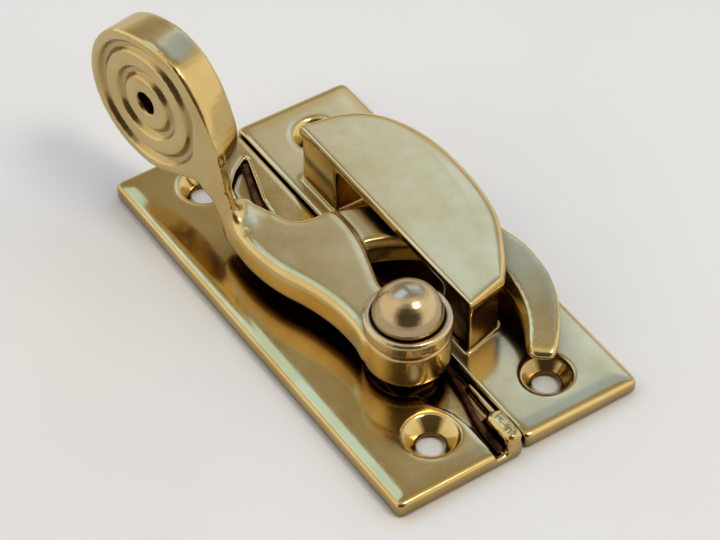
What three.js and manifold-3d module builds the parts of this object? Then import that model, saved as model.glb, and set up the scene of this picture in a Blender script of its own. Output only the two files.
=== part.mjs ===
// Claw sash fastener: a lever plate and a keeper plate that lie side by side
// on the two meeting rails of a window.  Millimetres, +Z up.
// The part's origin is the middle of the lever plate's underside.  Shapes are drawn
// from the meeting line (x = 0) and moved to that origin when the nodes are made.
// +Y runs along the meeting line towards the scroll handle, +X towards the keeper.
import * as THREE from 'three';
import * as BufferGeometryUtils from 'three/addons/utils/BufferGeometryUtils.js';
import Module from 'manifold-3d';

const wasm = await Module();
wasm.setup();

// ---- plates ----
const PLATE_T = 2.7;
const SEAM_GAP = 0.15;
const LEVER_PLATE = { x0: -19.85, x1: -SEAM_GAP, y0: -35, y1: 35 };
const KEEPER_PLATE = { x0: SEAM_GAP, x1: 18.6, y0: -34.5, y1: 35 };
const ORIGIN_X = (LEVER_PLATE.x0 + LEVER_PLATE.x1) / 2;
const PLATE_CORNER = 0.9;
const BUFF_WIDTH = 2.6;
const BUFF_DROP = 0.6;
const SEAM_BUFF = 0.35;
const KEEPER_FALL = 0.016;
const SCREW_BORE_R = 1.85;
const SCREW_HEAD_R = 3.7;
const LEVER_HOLES = [[-9.7, -27.5], [-9.7, 27.5]];
const KEEPER_HOLES = [[9.0, -27.2], [9.0, 27.5]];

// ---- spring pocket and lug ----
const POCKET_FLOOR = 1.5;
const LUG = { x0: -2.8, x1: -0.25, y0: -34.9, y1: -29.3, top: 4.3, corner: 0.9, round: 0.8 };
const SLOT = { x0: -4.7, x1: -2.65, y0: -36, y1: -28.2 };
const SPRING_T = 0.6;
const SPRING_TOP = 2.6;

// ---- lever ----
const PIVOT = [-5.4, -15.8];
const LEVER_Z0 = 5.05;
const LEVER_TOP = 10.0;
const CLAW_TOP = 9.2;
const HUB_R = 5.8;
const HUB_Z0 = 4.1;
const CAM_HALF = 3.3;
const CAM_CORNER_R = 3.8;
const CAM_Z0 = POCKET_FLOOR + 0.3;
const CLAW_ROOT_DEG = 84;
const CLAW_TIP_DEG = -38.5;

// ---- scroll: its flat face stands on a vertical plane along the lever ----
const FACE_POINT = [-14.3, 13.0];
const FACE_DIR = [-0.19, 0.982];
const DISC_CENTRE = { u: 16.3, z: 20.8 };
const DISC_T = 6.0;
const NECK_T = 1.8;
const DIMPLE_R = 1.7;
const DIMPLE_DEPTH = 2.6;
const RING_DEPTH = 1.0;
const RING_WIDTH = 1.9;
const RING_SLOPE = 0.6;
const RING_RADII = [4.9, 8.8];

// ---- pivot stud and collar ----
const STUD_R = 2.0;
const STUD_BORE_R = 2.3;
const BALL_R = 4.75;
const BALL_Z = 12.45;
const COLLAR = { z0: LEVER_TOP + 0.3, floor: 11.6, top: 12.3, inner: 5.0, outer: 5.75 };
const STUD_TAIL_R = 2.9;
const STUD_TAIL_H = 0.9;

// ---- keeper head ----
const HEAD_TOP = 11.9;
const HEAD_UNDER = 10.4;
const CHORD_X = 2.5;

const rad = THREE.MathUtils.degToRad;

// ---------- geometry helpers ----------
function toSolid(geometry) {
  let g = geometry.clone();
  g.deleteAttribute('normal');
  g.deleteAttribute('uv');
  g = BufferGeometryUtils.mergeVertices(g, 1e-4);
  const vertProperties = new Float32Array(g.attributes.position.array);
  const triVerts = new Uint32Array(g.index.array);
  return new wasm.Manifold(new wasm.Mesh({ numProp: 3, vertProperties, triVerts }));
}

function toGeometry(solid) {
  const mesh = solid.getMesh();
  const g = new THREE.BufferGeometry();
  g.setAttribute('position', new THREE.BufferAttribute(new Float32Array(mesh.vertProperties), 3));
  g.setIndex(new THREE.BufferAttribute(new Uint32Array(mesh.triVerts), 1));
  g.computeVertexNormals();
  return g;
}

function prism(shape, z0, z1, round = 0, segments = 2, width = round) {
  const g = new THREE.ExtrudeGeometry(shape, {
    depth: z1 - z0 - 2 * round,
    bevelEnabled: round > 0,
    bevelThickness: round,
    bevelSize: width,
    bevelOffset: -width,
    bevelSegments: segments,
    curveSegments: 6,
  });
  g.translate(0, 0, z0 + round);
  return toSolid(g);
}

function cylinder(x, y, r, z0, z1, segments = 32) {
  const g = new THREE.CylinderGeometry(r, r, z1 - z0, segments);
  g.rotateX(Math.PI / 2);
  g.translate(x, y, (z0 + z1) / 2);
  return toSolid(g);
}

// profile: [radius, height] pairs from the axis and back to the axis
function turned(profile, x, y, segments = 40) {
  const g = new THREE.LatheGeometry(profile.map(([r, h]) => new THREE.Vector2(r, h)), segments);
  g.rotateX(Math.PI / 2);
  g.translate(x, y, 0);
  return toSolid(g);
}

function rectangle(x0, x1, y0, y1, corner = 0) {
  const s = new THREE.Shape();
  s.moveTo(x0 + corner, y0);
  s.lineTo(x1 - corner, y0);
  if (corner > 0) s.absarc(x1 - corner, y0 + corner, corner, -Math.PI / 2, 0, false);
  s.lineTo(x1, y1 - corner);
  if (corner > 0) s.absarc(x1 - corner, y1 - corner, corner, 0, Math.PI / 2, false);
  s.lineTo(x0 + corner, y1);
  if (corner > 0) s.absarc(x0 + corner, y1 - corner, corner, Math.PI / 2, Math.PI, false);
  s.lineTo(x0, y0 + corner);
  if (corner > 0) s.absarc(x0 + corner, y0 + corner, corner, Math.PI, 1.5 * Math.PI, false);
  return s;
}

function curvePoints(points, count, closed = false) {
  const curve = new THREE.CatmullRomCurve3(
    points.map(([x, y]) => new THREE.Vector3(x, y, 0)), closed, 'centripetal');
  const samples = curve.getSpacedPoints(count);
  if (closed) samples.pop();
  return samples.map((p) => new THREE.Vector2(p.x, p.y));
}

function arcPoints(cx, cy, radiusAt, from, to, count) {
  const points = [];
  for (let i = 0; i <= count; i += 1) {
    const t = i / count;
    const a = rad(from + (to - from) * t);
    const r = radiusAt(t);
    points.push(new THREE.Vector2(cx + r * Math.cos(a), cy + r * Math.sin(a)));
  }
  return points;
}

function signedVolume(g) {
  const p = g.attributes.position;
  const at = (i) => new THREE.Vector3().fromBufferAttribute(p, g.index.getX(i));
  let sum = 0;
  for (let i = 0; i < g.index.count; i += 3) sum += at(i).dot(at(i + 1).cross(at(i + 2)));
  return sum;
}

// A skin through rings of equal length, capped at both ends.  Each ring is flat in its
// own x and y; place() then puts every point where it belongs.
function loft(rings, place = (p) => p) {
  const n = rings[0].length;
  const index = [];
  for (let r = 0; r + 1 < rings.length; r += 1) {
    for (let i = 0; i < n; i += 1) {
      const a = r * n + i;
      const b = r * n + (i + 1) % n;
      index.push(a, b, b + n, a, b + n, a + n);
    }
  }
  const flat = (ring) => ring.map((p) => new THREE.Vector2(p.x, p.y));
  const capOf = (ring) => THREE.ShapeUtils.triangulateShape(flat(ring), []);
  const last = (rings.length - 1) * n;
  for (const [a, b, c] of capOf(rings[0])) index.push(c, b, a);
  for (const [a, b, c] of capOf(rings[rings.length - 1])) index.push(last + a, last + b, last + c);
  const g = new THREE.BufferGeometry();
  const points = rings.flat().map(place);
  g.setAttribute('position', new THREE.Float32BufferAttribute(points.flatMap((p) => [p.x, p.y, p.z]), 3));
  g.setIndex(index);
  if (signedVolume(g) < 0) g.setIndex(index.reverse());
  return toSolid(g);
}

function screwHole([x, y]) {
  const below = [[0, -1], [SCREW_BORE_R, -1], [SCREW_BORE_R, PLATE_T - (SCREW_HEAD_R - SCREW_BORE_R)]];
  const above = [[SCREW_HEAD_R, PLATE_T], [SCREW_HEAD_R, PLATE_T + 1], [0, PLATE_T + 1]];
  return turned([...below, ...above], x, y, 36);
}

// ---------- lever plate ----------
function springPocket() {
  const land = [[-1.8, 29.2], [-4.5, 20.7], [-5.6, 14], [-4.8, 4], [-2.4, -6], [0.4, -9.6]];
  const nearWall = [[0.4, -21.6], [-0.9, -23.2], [-1.1, -28.9]];
  const slotSide = [[-4.6, -28.6], [-5.2, -25.4], [-6.6, -23]];
  const underHub = arcPoints(PIVOT[0], PIVOT[1], () => 5.2, -110, -235, 12).map((p) => [p.x, p.y]);
  const farSide = [[-8.9, -6], [-9.2, 6], [-8.6, 15], [-7.3, 22.4], [-6.6, 25.3], [-4.6, 27.4]];
  const outline = [...land, ...nearWall, ...slotSide, ...underHub, ...farSide];
  const shape = new THREE.Shape(outline.map(([x, y]) => new THREE.Vector2(x, y)));
  return prism(shape, POCKET_FLOOR, PLATE_T + 1);
}

// a plate whose outer top edges are rubbed over by the buffing wheel; the seam edge stays crisp
function buffedPlate({ x0, x1, y0, y1 }, seamAtLow, fall) {
  const middle = (x0 + x1) / 2;
  const ring = (inset, seamInset, height) => {
    const low = seamAtLow ? seamInset : inset;
    const high = seamAtLow ? inset : seamInset;
    const corners = [[x1 - high, y1 - inset], [x0 + low, y1 - inset], [x0 + low, y0 + inset],
      [x1 - high, y0 + inset]];
    const outline = corners.flatMap(([x, y], i) => arcPoints(
      x - PLATE_CORNER * Math.sign(x - middle), y - PLATE_CORNER * Math.sign(y),
      () => PLATE_CORNER, 90 * i, 90 * (i + 1), 3));
    const slope = height > 1 ? fall : 0;
    return outline.map((p) => new THREE.Vector3(p.x, p.y, height - slope * (p.x - x0)));
  };
  const rings = [ring(0.25, 0.1, 0), ring(0, 0, 0.25)];
  for (let i = 0; i <= 5; i += 1) {
    const a = rad(90 * i / 5);
    const rolled = 1 - Math.cos(a);
    rings.push(ring(BUFF_WIDTH * rolled, SEAM_BUFF * rolled, PLATE_T - BUFF_DROP * (1 - Math.sin(a))));
  }
  return loft(rings);
}

function leverPlate() {
  let body = buffedPlate(LEVER_PLATE, false, 0);
  const lug = prism(rectangle(LUG.x0, LUG.x1, LUG.y0, LUG.y1, LUG.corner), 0.4, LUG.top, LUG.round, 3);
  const slot = prism(rectangle(SLOT.x0, SLOT.x1, SLOT.y0, SLOT.y1), POCKET_FLOOR, PLATE_T + 1);
  body = body.subtract(springPocket()).subtract(slot).add(lug);
  const tailSeat = [[0, -1], [STUD_TAIL_R + 0.3, -1], [STUD_TAIL_R + 0.3, 0], [STUD_BORE_R, STUD_TAIL_H],
    [STUD_BORE_R, PLATE_T + 1], [0, PLATE_T + 1]];
  body = body.subtract(turned(tailSeat, PIVOT[0], PIVOT[1], 32));
  for (const hole of LEVER_HOLES) body = body.subtract(screwHole(hole));
  return body;
}

// ---------- leaf spring ----------
function leafSpring() {
  const path = [[-2.75, 27.9], [-5.2, 20.7], [-6.3, 13], [-5.4, 3], [-3.1, -6], [-1.2, -12.8],
    [-1.0, -16.5], [-1.9, -23.5], [-3.35, -29.5], [-3.6, -34.2]];
  const centre = curvePoints(path, 44);
  const left = [];
  const right = [];
  centre.forEach((p, i) => {
    const a = centre[Math.max(i - 1, 0)];
    const b = centre[Math.min(i + 1, centre.length - 1)];
    const across = new THREE.Vector2(b.y - a.y, a.x - b.x).normalize().multiplyScalar(SPRING_T / 2);
    left.push(p.clone().add(across));
    right.unshift(p.clone().sub(across));
  });
  return prism(new THREE.Shape([...left, ...right]), POCKET_FLOOR + 0.3, SPRING_TOP);
}

// ---------- lever ----------
function camOutline() {
  const shape = [];
  const flat = rad(90) - 2 * Math.acos(CAM_HALF / CAM_CORNER_R);
  for (let side = 0; side < 4; side += 1) {
    for (let i = 0; i <= 4; i += 1) {
      const a = rad(45 + 90 * side) + flat * (i / 4 - 0.5);
      shape.push(new THREE.Vector2(PIVOT[0] + CAM_CORNER_R * Math.cos(a),
        PIVOT[1] + CAM_CORNER_R * Math.sin(a)));
    }
  }
  return new THREE.Shape(shape);
}

function leverBody() {
  const outline = [[-11.2, -15.0], [-11.0, -11.5], [-11.1, -8], [-11.6, -5], [-12.5, -1.8],
    [-13.7, 1.4], [-14.5, 4.8], [-14.8, 8.6], [-14.6, 12], [-14.0, 15.6], [-12.6, 16.6], [-10.8, 15.9],
    [-9.0, 14.6], [-8.0, 11.8], [-6.8, 9.2], [-4.4, 8.2], [-1.4, 7.9], [-0.9, 4.4], [-1.4, 0.4],
    [-2.7, -4], [-3.7, -7.4], [-3.2, -10.2], [-1.8, -11.9], [-4.2, -15.8]];
  return prism(new THREE.Shape(curvePoints(outline, 84, true)), LEVER_Z0, LEVER_TOP, 1.0, 3, 1.3);
}

// The claw's section at each angle round the pivot: [angle, inner radius, outer radius,
// height of its top, width of the chamfer along its inner edge]
const CLAW_SECTIONS = [
  [CLAW_ROOT_DEG, 16.6, 24.2, 9.2, 0.6],
  [60, 16.5, 24.0, 9.2, 0.9],
  [30, 16.3, 23.6, 9.1, 1.5],
  [12, 16.2, 23.1, 8.6, 1.6],
  [-2, 16.0, 22.4, 8.0, 1.3],
  [-14, 15.8, 21.4, 7.5, 1.0],
  [-29, 15.5, 20.0, 6.8, 0.5],
  [-34, 15.5, 19.6, 6.5, 0.5],
  [-37, 15.9, 19.3, 6.2, 0.5],
  [CLAW_TIP_DEG, 16.6, 18.8, 5.8, 0.3],
];

function clawSection(t) {
  const span = (CLAW_SECTIONS.length - 1) * t;
  const i = Math.min(Math.floor(span), CLAW_SECTIONS.length - 2);
  const mix = CLAW_SECTIONS[i].map((v, k) => v + (CLAW_SECTIONS[i + 1][k] - v) * (span - i));
  const [angle, inner, outer, top, chamfer] = mix;
  const drop = Math.min(1.2, (top - LEVER_Z0) * 0.45);
  return [[inner + 0.2, LEVER_Z0], [outer - 0.2, LEVER_Z0], [outer, LEVER_Z0 + 0.2], [outer, top - 0.4],
    [outer - 0.15, top - 0.12], [outer - 0.45, top], [inner + chamfer, top], [inner, top - drop],
    [inner, LEVER_Z0 + 0.2]].map(([r, z]) => new THREE.Vector3(r, z, rad(angle)));
}

function claw() {
  const rings = [];
  for (let i = 0; i <= 36; i += 1) rings.push(clawSection(i / 36));
  return loft(rings, (p) => new THREE.Vector3(
    PIVOT[0] + p.x * Math.cos(p.z), PIVOT[1] + p.x * Math.sin(p.z), p.y));
}

// stands the (u, z) outline up on the face plane, thickness going away from the face
function standUp(shape, thickness, round, segments = 2) {
  const g = new THREE.ExtrudeGeometry(shape, {
    depth: thickness - 2 * round,
    bevelEnabled: round > 0,
    bevelThickness: round,
    bevelSize: round,
    bevelOffset: -round,
    bevelSegments: segments,
  });
  g.translate(0, 0, round);
  return toSolid(placeOnFace(g));
}

// local x is u, local y is z, local z is the depth behind the face
function placeOnFace(g) {
  const dir = new THREE.Vector3(FACE_DIR[0], FACE_DIR[1], 0).normalize();
  const up = new THREE.Vector3(0, 0, 1);
  const depth = new THREE.Vector3().crossVectors(dir, up);
  const m = new THREE.Matrix4().makeBasis(dir, up, depth);
  m.setPosition(FACE_POINT[0], FACE_POINT[1], 0);
  g.applyMatrix4(m);
  return g;
}

// the scroll's edge in its own plane, as [angle, radius] about the disc's centre
const FRONT_EDGE = [[90, 11.2], [105, 11.5], [123, 12.0], [146, 12.1], [160, 12.5], [174, 13.2], [183, 14.0],
  [193, 14.5], [203, 13.9], [214, 12.9], [232, 11.4], [250, 11.1], [272, 11.2], [300, 11.2], [330, 11.2],
  [360, 11.2], [390, 11.2], [420, 11.2]];
const BACK_EDGE = [[90, 11.1], [105, 11.2], [123, 11.3], [146, 11.2], [160, 11.3], [174, 11.8], [183, 12.2],
  [193, 12.6], [203, 12.9], [214, 12.6], [232, 11.4], [250, 11.0], [272, 11.0], [300, 11.1], [330, 11.1],
  [360, 11.1], [390, 11.1], [420, 11.1]];

function edgeRing(edge, inset, depth) {
  const points = edge.map(([angle, radius]) => [
    DISC_CENTRE.u + (radius - inset) * Math.cos(rad(angle)),
    DISC_CENTRE.z + (radius - inset) * Math.sin(rad(angle))]);
  return curvePoints(points, 72, true).map((p) => new THREE.Vector3(p.x, p.y, depth));
}

function facePoint() {
  const dir = new THREE.Vector3(FACE_DIR[0], FACE_DIR[1], 0).normalize();
  const depth = new THREE.Vector3().crossVectors(dir, new THREE.Vector3(0, 0, 1));
  return (p) => new THREE.Vector3(FACE_POINT[0], FACE_POINT[1], p.y)
    .addScaledVector(dir, p.x).addScaledVector(depth, p.z);
}

// turned ring or dimple sunk into the front or back face of the scroll
function sunkRing(inner, outer, depth, fromBack) {
  const side = (d) => (fromBack ? DISC_T - d : d);
  const slope = inner === 0 ? 0.3 : RING_SLOPE;
  const open = slope / depth;
  const mouth = [[outer - slope, side(depth)], [outer + open, side(-1)]];
  const root = inner === 0 ? [[0, side(-1)], [0, side(depth)]]
    : [[inner - open, side(-1)], [inner + slope, side(depth)]];
  const profile = [root[1], ...mouth, root[0]];
  const closed = inner === 0 ? profile : [...profile, profile[0]];
  const ordered = fromBack ? closed : closed.reverse();
  const g = new THREE.LatheGeometry(ordered.map(([r, d]) => new THREE.Vector2(r, d)), 48);
  g.rotateX(Math.PI / 2);
  g.translate(DISC_CENTRE.u, DISC_CENTRE.z, 0);
  return toSolid(placeOnFace(g));
}

function scrollDisc() {
  const rings = [edgeRing(FRONT_EDGE, 0.35, 0), edgeRing(FRONT_EDGE, 0, 0.35), edgeRing(FRONT_EDGE, 0, 1.4),
    edgeRing(BACK_EDGE, 0, DISC_T - 0.5), edgeRing(BACK_EDGE, 0.5, DISC_T)];
  let disc = loft(rings, facePoint());
  for (const fromBack of [false, true]) {
    for (const r of RING_RADII) {
      disc = disc.subtract(sunkRing(r - RING_WIDTH / 2, r + RING_WIDTH / 2, RING_DEPTH, fromBack));
    }
    disc = disc.subtract(sunkRing(0, DIMPLE_R, DIMPLE_DEPTH, fromBack));
  }
  return disc;
}

function scrollNeck() {
  const under = [[0.9, 6.0], [2.1, 8.2], [3.4, 10.0], [4.6, 11.6], [6.3, 12.8], [7.6, 14.2]];
  const over = [[7.0, 25.0], [5.2, 25.6], [3.8, 23.6], [2.7, 20.4], [1.7, 17.4], [0.7, 13.8], [-0.4, 10.8],
    [-1.9, 8.6]];
  const start = new THREE.Vector2(-1.9, 6.0);
  const shape = new THREE.Shape([start, ...curvePoints(under, 14), ...curvePoints(over, 22)]);
  return standUp(shape, NECK_T, 0.35);
}

// cove that sweeps the neck's inner side down onto the top of the lever; it swells along
// the lever as [place along the face, rise above the lever, reach across the lever]
const COVE_SWEEP = [[-2.4, 0.15, 0.5], [-0.8, 0.7, 1.9], [0.5, 2.4, 3.4], [1.7, 3.3, 4.4], [2.7, 2.9, 3.8],
  [3.3, 1.4, 2.0]];

function neckCove() {
  const foot = LEVER_TOP - 0.05;
  const rings = COVE_SWEEP.map(([along, rise, reach]) => {
    const skin = [];
    for (let i = 8; i >= 0; i -= 1) {
      const t = i / 8;
      skin.push(new THREE.Vector3(1.1 + reach * t, foot + rise * (1 - t) ** 2, along));
    }
    return [new THREE.Vector3(0.6, foot - 1.4, along), new THREE.Vector3(1.1 + reach, foot - 1.4, along),
      ...skin, new THREE.Vector3(0.6, foot + rise, along)];
  });
  const onFace = facePoint();
  return loft(rings, (p) => onFace(new THREE.Vector3(p.z, p.y, p.x)));
}

function lever() {
  const [x, y] = PIVOT;
  const hubProfile = [[0, HUB_Z0], [HUB_R - 0.6, HUB_Z0], [HUB_R, HUB_Z0 + 0.8], [HUB_R, LEVER_TOP - 0.3],
    [HUB_R - 0.3, LEVER_TOP], [0, LEVER_TOP]];
  const cam = prism(camOutline(), CAM_Z0, HUB_Z0 + 0.5);
  let body = leverBody().add(turned(hubProfile, x, y)).add(cam).add(claw());
  body = body.add(scrollNeck()).add(scrollDisc()).add(neckCove());
  return body.subtract(cylinder(x, y, STUD_BORE_R, 0, LEVER_TOP + 1));
}

// ---------- stud and collar ----------
function pivotStud() {
  const profile = [[0, 0], [STUD_TAIL_R, 0], [STUD_R, STUD_TAIL_H], [STUD_R, COLLAR.floor + 0.3],
    [BALL_R - 0.1, COLLAR.floor + 0.3]];
  for (let i = 0; i <= 10; i += 1) {
    const a = rad(90 * i / 10);
    profile.push([BALL_R * Math.cos(a), BALL_Z + BALL_R * Math.sin(a)]);
  }
  profile[profile.length - 1][0] = 0;
  return turned(profile, PIVOT[0], PIVOT[1]);
}

function collar() {
  const { z0, floor, top, inner, outer } = COLLAR;
  const profile = [[STUD_BORE_R, z0], [outer - 0.2, z0], [outer, z0 + 0.2], [outer, top - 0.3],
    [outer - 0.25, top], [inner + 0.15, top], [inner, top - 0.15], [inner, floor], [STUD_BORE_R, floor],
    [STUD_BORE_R, z0]];
  return turned(profile, PIVOT[0], PIVOT[1]);
}

// ---------- keeper ----------
const HEAD_OUTLINE = [[9.3, -16.9], [11.5, -14.2], [13.4, -11.2], [15.6, -7.0], [16.9, -1.6], [17.3, 4.0],
  [17.0, 9.9], [15.9, 14.2], [13.9, 18.0], [11.0, 20.6], [7.6, 21.8]];
const HEAD_TOP_OUTLINE = [[8.4, -16.6], [9.9, -11.7], [11.8, -5.3], [13.4, 0.6], [14.3, 6.0], [14.2, 10.5],
  [13.2, 15.2], [11.4, 18.4], [8.6, 20.4]];

function headShape(rimPoints, inset) {
  const shape = new THREE.Shape();
  shape.moveTo(CHORD_X, -18.7 + inset);
  for (const p of curvePoints(rimPoints, 30)) shape.lineTo(p.x, p.y);
  shape.lineTo(CHORD_X, 22.2 - inset);
  return shape;
}

function headHood() {
  const outer = headShape(HEAD_OUTLINE, 0).getPoints();
  const top = headShape(HEAD_TOP_OUTLINE, 0.3).getPoints();
  const ring = (t, z) => outer.map((p, i) => new THREE.Vector3(
    p.x + (top[i].x - p.x) * t, p.y + (top[i].y - p.y) * t, z - KEEPER_FALL * (p.x - CHORD_X) * t));
  const rings = [ring(0, HEAD_UNDER - 0.5), ring(0, HEAD_UNDER + 0.1)];
  for (let i = 1; i <= 5; i += 1) {
    const a = rad(90 * i / 5);
    rings.push(ring(1 - Math.cos(a), HEAD_UNDER + 0.1 + (HEAD_TOP - HEAD_UNDER - 0.1) * Math.sin(a)));
  }
  return loft(rings);
}

function headThroat() {
  return prism(rectangle(CHORD_X - 4, 24, -12.4, 12.9), PLATE_T + 1, HEAD_UNDER);
}

function keeper() {
  let body = buffedPlate(KEEPER_PLATE, true, KEEPER_FALL);
  const near = new THREE.Shape([[CHORD_X, -18.6], [8.3, -17.1], [8.9, -16.4], [8.9, -13.4], [8.0, -12.4],
    [CHORD_X, -12.4]].map(([px, py]) => new THREE.Vector2(px, py)));
  const far = new THREE.Shape([[CHORD_X, 12.9], [15.4, 12.9], [14.6, 15.4], [12.8, 18.0], [10.4, 19.8],
    [7.2, 20.9], [CHORD_X, 21.2]].map(([px, py]) => new THREE.Vector2(px, py)));
  body = body.add(headHood().subtract(headThroat()));
  for (const leg of [near, far]) body = body.add(prism(leg, PLATE_T - 0.5, HEAD_UNDER + 0.6));
  for (const hole of KEEPER_HOLES) body = body.subtract(screwHole(hole));
  return body;
}

// ---------- materials ----------
function brass(colour, roughness) {
  return new THREE.MeshStandardMaterial({ color: colour, roughness, metalness: 1 });
}

function node(name, solid, material) {
  const geometry = toGeometry(solid);
  geometry.translate(-ORIGIN_X, 0, 0);
  const mesh = new THREE.Mesh(geometry, material);
  mesh.name = name;
  return mesh;
}

const fastener = new THREE.Group();
fastener.name = 'claw_sash_fastener';
fastener.add(node('lever_plate', leverPlate(), brass(0xc9ac6a, 0.2)));
fastener.add(node('keeper', keeper(), brass(0xd0b876, 0.2)));
fastener.add(node('lever', lever(), brass(0xc8a868, 0.22)));
fastener.add(node('pivot_stud', pivotStud(), brass(0xb89a58, 0.15)));
fastener.add(node('stud_collar', collar(), brass(0xb09050, 0.3)));
fastener.add(node('leaf_spring', leafSpring(), brass(0x9a7440, 0.4)));

export default fastener;
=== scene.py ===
import bpy
from mathutils import Matrix, Vector


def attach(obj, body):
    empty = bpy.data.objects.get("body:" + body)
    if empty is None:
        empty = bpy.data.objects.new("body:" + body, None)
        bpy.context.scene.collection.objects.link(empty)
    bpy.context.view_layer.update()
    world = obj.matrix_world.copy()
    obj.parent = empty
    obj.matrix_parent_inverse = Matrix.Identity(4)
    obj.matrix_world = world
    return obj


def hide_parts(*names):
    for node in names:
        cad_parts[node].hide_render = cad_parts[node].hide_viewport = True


# A claw sash fastener in cast and buffed brass, on a pale paper sweep.
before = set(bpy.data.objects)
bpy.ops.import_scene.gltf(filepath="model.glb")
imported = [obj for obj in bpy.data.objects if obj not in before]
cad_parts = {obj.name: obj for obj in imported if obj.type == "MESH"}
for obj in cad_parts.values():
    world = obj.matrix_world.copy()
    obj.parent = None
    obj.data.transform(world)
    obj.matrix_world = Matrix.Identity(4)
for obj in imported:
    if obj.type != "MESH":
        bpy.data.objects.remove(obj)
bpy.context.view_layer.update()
MM = 0.001

# places on the castings, in mm from the origin
NECK_ROOT = (-1.6, 14.8, 11.0)
NECK_NOTCH = (-3.4, 12.0, 10.3)
LUG_MIDDLE = (8.5, -32.1, 4.2)

# voxel sizes of the remade skins, in mm
CAST_GRAIN = 0.22
TURNED_GRAIN = 0.12
# corners closer than this, in metres, are one corner
WELD = 1e-6

# ------------------------------------------------------------------ camera
# world frame: origin under the middle of the lever plate, +Y towards the scroll
EYE = Vector((-0.14193, -0.22080, 0.28353))
LOOK = Vector((0.38835, 0.57249, -0.72211))
RIGHT = Vector((0.82925, -0.55888, 0.00289))
LENS_MM = 143.95


def place_camera():
    data = bpy.data.cameras.new("camera")
    camera = bpy.data.objects.new("camera", data)
    bpy.context.scene.collection.objects.link(camera)
    up = RIGHT.cross(LOOK)
    axes = Matrix((RIGHT, up, -LOOK)).transposed().to_4x4()
    camera.matrix_world = Matrix.Translation(EYE) @ axes
    data.sensor_width = 36
    data.lens = LENS_MM
    data.clip_start = 0.01
    data.dof.use_dof = False
    bpy.context.scene.camera = camera


# ------------------------------------------------------------------ mesh helpers
def deselect_all():
    if bpy.context.object and bpy.context.object.mode != "OBJECT":
        bpy.ops.object.mode_set(mode="OBJECT")
    bpy.ops.object.select_all(action="DESELECT")


def make_active(piece):
    deselect_all()
    piece.select_set(True)
    bpy.context.view_layer.objects.active = piece


def apply_modifier(piece, kind, **settings):
    make_active(piece)
    modifier = piece.modifiers.new(kind.lower(), kind)
    for key, value in settings.items():
        setattr(modifier, key, value)
    bpy.ops.object.modifier_apply(modifier=modifier.name)


def copy_of_node(node, name):
    """A copy of a CAD node, its loose triangles joined up into one skin."""
    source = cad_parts[node]
    make_active(source)
    bpy.ops.object.duplicate()
    piece = bpy.context.object
    piece.name = name
    piece.data.name = name
    for key in list(piece.keys()):
        del piece[key]
    bpy.ops.object.mode_set(mode="EDIT")
    bpy.ops.mesh.select_all(action="SELECT")
    bpy.ops.mesh.remove_doubles(threshold=WELD)
    bpy.ops.object.mode_set(mode="OBJECT")
    return piece


def buffed_casting(node, name, body, grain_mm, passes):
    """A casting whose sharp corners have been rubbed soft by the polishing wheel."""
    piece = copy_of_node(node, name)
    apply_modifier(piece, "REMESH", mode="VOXEL", voxel_size=grain_mm * MM)
    apply_modifier(piece, "SMOOTH", factor=0.5, iterations=passes)
    make_active(piece)
    bpy.ops.object.shade_smooth()
    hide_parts(node)
    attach(piece, body)
    return piece


def pick_near(piece, centre, reach):
    """Selects, in edit mode, the skin within reach (mm) of a centre (mm)."""
    middle = Vector(centre) * MM
    make_active(piece)
    bpy.ops.object.mode_set(mode="EDIT")
    bpy.ops.mesh.select_mode(type="VERT")
    bpy.ops.mesh.select_all(action="DESELECT")
    bpy.ops.object.mode_set(mode="OBJECT")
    for point in piece.data.vertices:
        point.select = (point.co - middle).length < reach * MM
    bpy.ops.object.mode_set(mode="EDIT")


def soften(piece, centre, reach, passes):
    """Rubs one corner of a casting into a smooth sweep."""
    pick_near(piece, centre, reach)
    bpy.ops.mesh.vertices_smooth(factor=0.5, repeat=passes)
    bpy.ops.object.mode_set(mode="OBJECT")


def roughen(piece, centre, reach, depth_mm, passes):
    """Leaves one corner of a casting lumpy, as it came out of the sand."""
    pick_near(piece, centre, reach)
    bpy.ops.transform.vertex_random(offset=depth_mm * MM, uniform=0.2, normal=1.0, seed=3)
    bpy.ops.mesh.vertices_smooth(factor=0.5, repeat=passes)
    bpy.ops.object.mode_set(mode="OBJECT")


def swell(piece, thickness_mm):
    """Thickens a thin turned rim outwards all over."""
    make_active(piece)
    bpy.ops.object.mode_set(mode="EDIT")
    bpy.ops.mesh.select_all(action="SELECT")
    bpy.ops.transform.shrink_fatten(value=thickness_mm * MM)
    bpy.ops.object.mode_set(mode="OBJECT")


# ------------------------------------------------------------------ node helpers
def srgb(code):
    values = [int(code[i:i + 2], 16) / 255 for i in (1, 3, 5)]
    linear = [v / 12.92 if v <= 0.04045 else ((v + 0.055) / 1.055) ** 2.4 for v in values]
    return (*linear, 1.0)


def add(tree, kind, links=None, **settings):
    """Adds one node; settings name its properties or its input sockets."""
    made = tree.nodes.new(kind)
    for key, value in settings.items():
        if hasattr(made, key):
            setattr(made, key, value)
        else:
            made.inputs[key.replace("_", " ")].default_value = value
    for socket, source in (links or {}).items():
        tree.links.new(source, made.inputs[socket])
    return made


def new_material(name):
    material = bpy.data.materials.new(name)
    material.use_nodes = True
    return material, material.node_tree, material.node_tree.nodes["Principled BSDF"]


def put_on(piece, material):
    piece.data.materials.clear()
    piece.data.materials.append(material)


def ramp(tree, source, stops):
    made = add(tree, "ShaderNodeValToRGB", {"Fac": source})
    band = made.color_ramp
    while len(band.elements) < len(stops):
        band.elements.new(0.5)
    for element, (place, colour) in zip(band.elements, stops):
        element.position = place
        element.color = colour
    return made


def grey(value):
    return (value, value, value, 1.0)


# ------------------------------------------------------------------ materials
# brown of the inside corners: partly grime, partly painted shade
GRIME_AND_SHADE = "#6e4a22"
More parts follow.
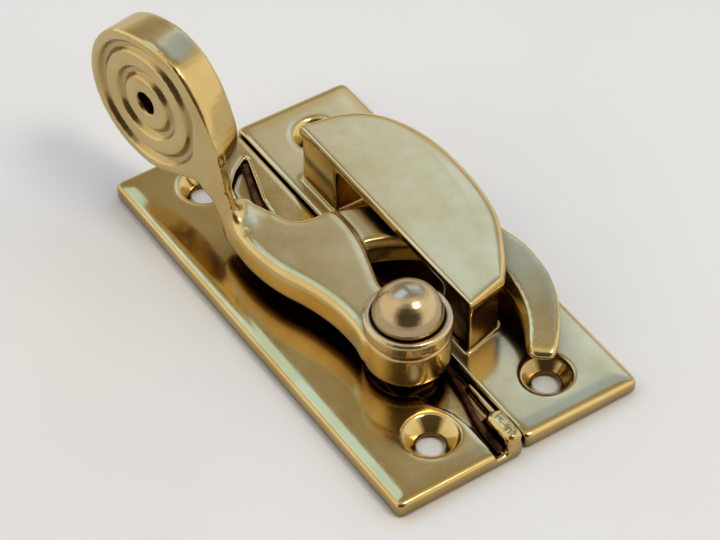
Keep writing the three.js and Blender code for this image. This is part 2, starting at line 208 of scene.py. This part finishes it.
# noise scales in cycles per metre, with the size that each one shows on the metal
PATCH_SCALE = 130.0      # toned patches, 6 to 10 mm
ROLL_SCALE = 260.0       # the casting's gentle roll, 3 to 4 mm
SMEAR_SCALE = 420.0      # smears of handling, 2 mm
GRIME_SCALE = 700.0      # grease on the spring, 1.5 mm
SCRATCH_SCALE = 2600.0   # hair scratches from the wheel, 0.4 mm
CLOUD_SCALE = 22.0       # cloudiness of the paper, 45 mm


def buffed_cast_brass(name, clean, toned, rough_low, rough_high, cast_depth, grime_and_shade_reach=5.0):
    """Sand-cast brass, linished and buffed on a cloth wheel, then handled for years.

    The eye sees a near-mirror with a faint orange-peel left by the casting,
    hair scratches from the wheel, warmer patches where it has toned, and brown
    in the inside corners: partly grime that the wheel and the duster never reach, partly
    painted shade.
    """
    material, tree, shader = new_material(name)
    place = add(tree, "ShaderNodeTexCoord").outputs["Object"]
    # toning comes in patches
    patches = add(tree, "ShaderNodeTexNoise", {"Vector": place}, Scale=PATCH_SCALE, Detail=3.0)
    colour = ramp(tree, patches.outputs["Fac"], [(0.34, srgb(toned)), (0.62, srgb(clean))])
    # painted shade, partly grime: the colour is darkened in inside corners, the more closed in
    # they are within the reach (mm) of the facing wall
    shelter = add(tree, "ShaderNodeAmbientOcclusion", Distance=grime_and_shade_reach * MM, samples=8)
    grime_and_shade_cover = ramp(tree, shelter.outputs["AO"], [(0.20, grey(1.0)), (0.92, grey(0.0))])
    grime_and_shade_mix = add(tree, "ShaderNodeMix", data_type="RGBA", blend_type="MULTIPLY")
    factor, metal, grime_and_shade_colour = (socket for socket in grime_and_shade_mix.inputs if socket.enabled)
    tree.links.new(grime_and_shade_cover.outputs["Color"], factor)
    tree.links.new(colour.outputs["Color"], metal)
    grime_and_shade_colour.default_value = srgb(GRIME_AND_SHADE)
    result = next(socket for socket in grime_and_shade_mix.outputs if socket.enabled)
    tree.links.new(result, shader.inputs["Base Color"])
    # hair scratches and smears make the polish uneven
    fine = add(tree, "ShaderNodeTexNoise", {"Vector": place}, Scale=SCRATCH_SCALE, Detail=2.0)
    soft = add(tree, "ShaderNodeTexNoise", {"Vector": place}, Scale=SMEAR_SCALE, Detail=2.0)
    mixed = add(tree, "ShaderNodeMath", {0: fine.outputs["Fac"], 1: soft.outputs["Fac"]},
                operation="MULTIPLY")
    rough = ramp(tree, mixed.outputs[0], [(0.12, grey(rough_low)), (0.42, grey(rough_high))])
    tree.links.new(rough.outputs["Color"], shader.inputs["Roughness"])
    # the skin of the casting rolls gently, cast_depth (mm) high
    roll = add(tree, "ShaderNodeTexNoise", {"Vector": place}, Scale=ROLL_SCALE, Detail=2.0)
    bump = add(tree, "ShaderNodeBump", {"Height": roll.outputs["Fac"]}, Strength=1.0,
               Distance=cast_depth * MM)
    tree.links.new(bump.outputs["Normal"], shader.inputs["Normal"])
    shader.inputs["Metallic"].default_value = 1.0
    return material


def spring_strip_metal():
    """Hard-rolled spring strip, browned by age and grease."""
    material, tree, shader = new_material("browned_spring_strip")
    place = add(tree, "ShaderNodeTexCoord").outputs["Object"]
    grime = add(tree, "ShaderNodeTexNoise", {"Vector": place}, Scale=GRIME_SCALE, Detail=4.0)
    colour = ramp(tree, grime.outputs["Fac"], [(0.35, srgb("#2c180b")), (0.7, srgb("#6e4426"))])
    tree.links.new(colour.outputs["Color"], shader.inputs["Base Color"])
    rough = ramp(tree, grime.outputs["Fac"], [(0.3, grey(0.55)), (0.7, grey(0.32))])
    tree.links.new(rough.outputs["Color"], shader.inputs["Roughness"])
    shader.inputs["Metallic"].default_value = 1.0
    return material


def matt_paper():
    """Uncoated white paper under the part: matt, with a very faint cloudiness."""
    material, tree, shader = new_material("matt_white_paper")
    place = add(tree, "ShaderNodeTexCoord").outputs["Object"]
    cloud = add(tree, "ShaderNodeTexNoise", {"Vector": place}, Scale=CLOUD_SCALE, Detail=3.0)
    colour = ramp(tree, cloud.outputs["Fac"], [(0.3, srgb("#e4e1db")), (0.7, srgb("#e8e6e0"))])
    tree.links.new(colour.outputs["Color"], shader.inputs["Base Color"])
    shader.inputs["Roughness"].default_value = 0.9
    return material


# ------------------------------------------------------------------ floor and light
# the room's brightness in each direction, as stops along a line to its two dim sides
ROOM_STRENGTH = 1.36
NEAR_SIDE = (-0.46, -0.70, 0.55)
NEAR_STOPS = [(0.0, "#ffffff"), (0.60, "#fffcf4"), (0.86, "#524c42")]
FAR_SIDE = (0.40, 0.57, 0.72)
FAR_STOPS = [(0.0, "#f8f5ef"), (0.60, "#f8f5ef"), (0.88, "#9c978c")]
# the paper's width and its place just under the plates, in metres
PAPER_SIZE = 3.0
PAPER_DROP = 0.0001


def lay_floor():
    deselect_all()
    bpy.ops.mesh.primitive_plane_add(size=PAPER_SIZE, location=(0, 0, -PAPER_DROP))
    floor = bpy.context.object
    floor.name = "paper_floor"
    bpy.ops.object.transform_apply(location=True)
    put_on(floor, matt_paper())


def soft_box(name, towards, distance, width, height, watts, colour):
    """A rectangular soft light facing the part; its width runs as nearly along X as it can."""
    data = bpy.data.lights.new(name, "AREA")
    data.shape = "RECTANGLE"
    data.size = width
    data.size_y = height
    data.energy = watts
    data.color = srgb(colour)[:3]
    lamp = bpy.data.objects.new(name, data)
    bpy.context.scene.collection.objects.link(lamp)
    back = Vector(towards).normalized()
    across = (Vector((1, 0, 0)) - back * back.x).normalized()
    axes = Matrix((across, back.cross(across), back)).transposed().to_4x4()
    lamp.matrix_world = Matrix.Translation(back * distance) @ axes


def room_light():
    """A pale room: dim behind the viewer and on the far wall, brightest overhead."""
    world = bpy.data.worlds.new("room")
    bpy.context.scene.world = world
    world.use_nodes = True
    tree = world.node_tree
    back = tree.nodes["Background"]
    towards = add(tree, "ShaderNodeTexCoord").outputs["Generated"]
    shades = []
    for side, stops in ((NEAR_SIDE, NEAR_STOPS), (FAR_SIDE, FAR_STOPS)):
        facing = add(tree, "ShaderNodeVectorMath", {0: towards}, operation="DOT_PRODUCT")
        facing.inputs[1].default_value = side
        shade = ramp(tree, facing.outputs["Value"], [(at, srgb(code)) for at, code in stops])
        shades.append(shade.outputs["Color"])
    both = add(tree, "ShaderNodeVectorMath", {0: shades[0], 1: shades[1]}, operation="MULTIPLY")
    tree.links.new(both.outputs["Vector"], back.inputs["Color"])
    back.inputs["Strength"].default_value = ROOM_STRENGTH


def light_studio():
    room_light()
    soft_box("key_box", (0.22, -0.42, 0.88), 1.2, 0.30, 0.30, 3.6, "#fffaf4")
    soft_box("window_box", (0.60, 0.58, 0.56), 1.4, 0.66, 0.60, 0.7, "#dce8ff")
    soft_box("sky_box", (0.64, 0.38, 0.67), 1.4, 0.74, 0.70, 2.0, "#4a9aff")
    soft_box("ceiling_box", (0.00, 0.52, 0.85), 1.4, 0.72, 0.60, 3.0, "#80b8ff")


# ------------------------------------------------------------------ build
place_camera()
light_studio()
lay_floor()

# castings first, each with the rubbing or the sand-rough corners that it has
lever_casting = buffed_casting("lever", "lever_casting", "lever", CAST_GRAIN, 14)
keeper_casting = buffed_casting("keeper", "keeper_casting", "plates", CAST_GRAIN, 16)
plate_casting = buffed_casting("lever_plate", "plate_casting", "plates", CAST_GRAIN, 18)
soften(lever_casting, NECK_ROOT, 4.6, 50)
soften(lever_casting, NECK_NOTCH, 2.4, 40)
roughen(plate_casting, LUG_MIDDLE, 3.4, 0.16, 3)

put_on(lever_casting, buffed_cast_brass("buffed_lever_brass", "#ccb47c", "#c0a66c",
                                        0.17, 0.27, 0.006))
put_on(keeper_casting, buffed_cast_brass("buffed_keeper_brass", "#cdb67f", "#c5ab70",
                                         0.14, 0.20, 0.005))
put_on(plate_casting, buffed_cast_brass("buffed_plate_brass", "#cab177", "#bda164",
                                        0.10, 0.18, 0.008))

# turned parts; the collar's rim is swelled to close up on the ball
stud = buffed_casting("pivot_stud", "stud_turning", "plates", TURNED_GRAIN, 10)
collar = buffed_casting("stud_collar", "collar_turning", "plates", TURNED_GRAIN, 4)
swell(collar, 0.18)
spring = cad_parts["leaf_spring"]
put_on(stud, buffed_cast_brass("turned_stud_brass", "#b9a47e", "#ab946c",
                               0.18, 0.24, 0.003, 1.0))
put_on(collar, buffed_cast_brass("turned_collar_brass", "#c6b084", "#b69c70",
                                 0.22, 0.28, 0.002, 0.3))
put_on(spring, spring_strip_metal())

bpy.context.scene.view_settings.view_transform = "Standard"
